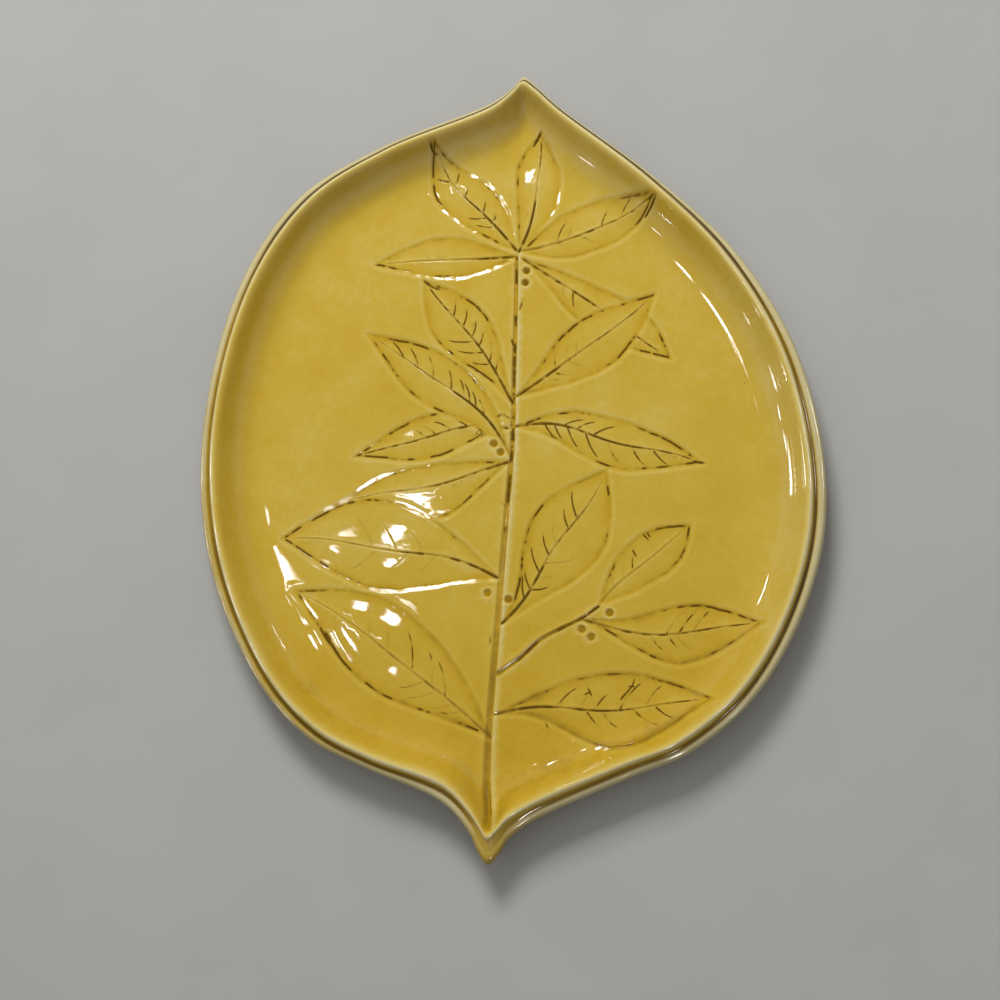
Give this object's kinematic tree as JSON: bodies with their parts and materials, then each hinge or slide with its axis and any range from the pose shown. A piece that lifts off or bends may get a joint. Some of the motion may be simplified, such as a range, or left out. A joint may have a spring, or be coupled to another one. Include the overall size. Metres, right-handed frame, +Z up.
{
  "type": "leaf shaped plate",
  "caption": "Leaf shaped stoneware serving plate with a raised lip, a band round its edge, a coil foot and the stained print of a leafy sprig in its amber glazed floor.",
  "frame": {"origin": "on the table under the middle of the plate's length and width", "axes": "+Z up out of the dish, +Y to the upper tip of the leaf, +X to the right with the cut stem towards the viewer"},
  "size_m": [0.274, 0.352, 0.025],
  "materials": {
    "amber_glaze": "glossy transparent amber glaze over pale stoneware",
    "pale_glaze": "thin glossy glaze worn pale on the band",
    "pooled_glaze": "thick dark pool of the same glaze",
    "bare_clay": "unglazed stoneware, dry to the touch",
    "iron_stain": "dark iron stain under the glaze"
  },
  "bodies": {
    "root": {"dish_slab": "amber_glaze", "rim_band": "pale_glaze", "seam_glaze": "pooled_glaze", "foot_ring": "bare_clay", "stem_inlay": "iron_stain", "twig_inlay": "iron_stain", "berry_inlays": "iron_stain", "leaf_inlay_01": "iron_stain", "leaf_inlay_02": "iron_stain", "leaf_inlay_03": "iron_stain", "leaf_inlay_04": "iron_stain", "leaf_inlay_05": "iron_stain", "leaf_inlay_06": "iron_stain", "leaf_inlay_07": "iron_stain", "leaf_inlay_08": "iron_stain", "leaf_inlay_09": "iron_stain", "leaf_inlay_10": "iron_stain", "leaf_inlay_11": "iron_stain", "leaf_inlay_12": "iron_stain", "leaf_inlay_13": "iron_stain", "leaf_inlay_14": "iron_stain", "leaf_inlay_15": "iron_stain", "leaf_inlay_16": "iron_stain", "leaf_inlay_17": "iron_stain"}
  },
  "joints": []
}
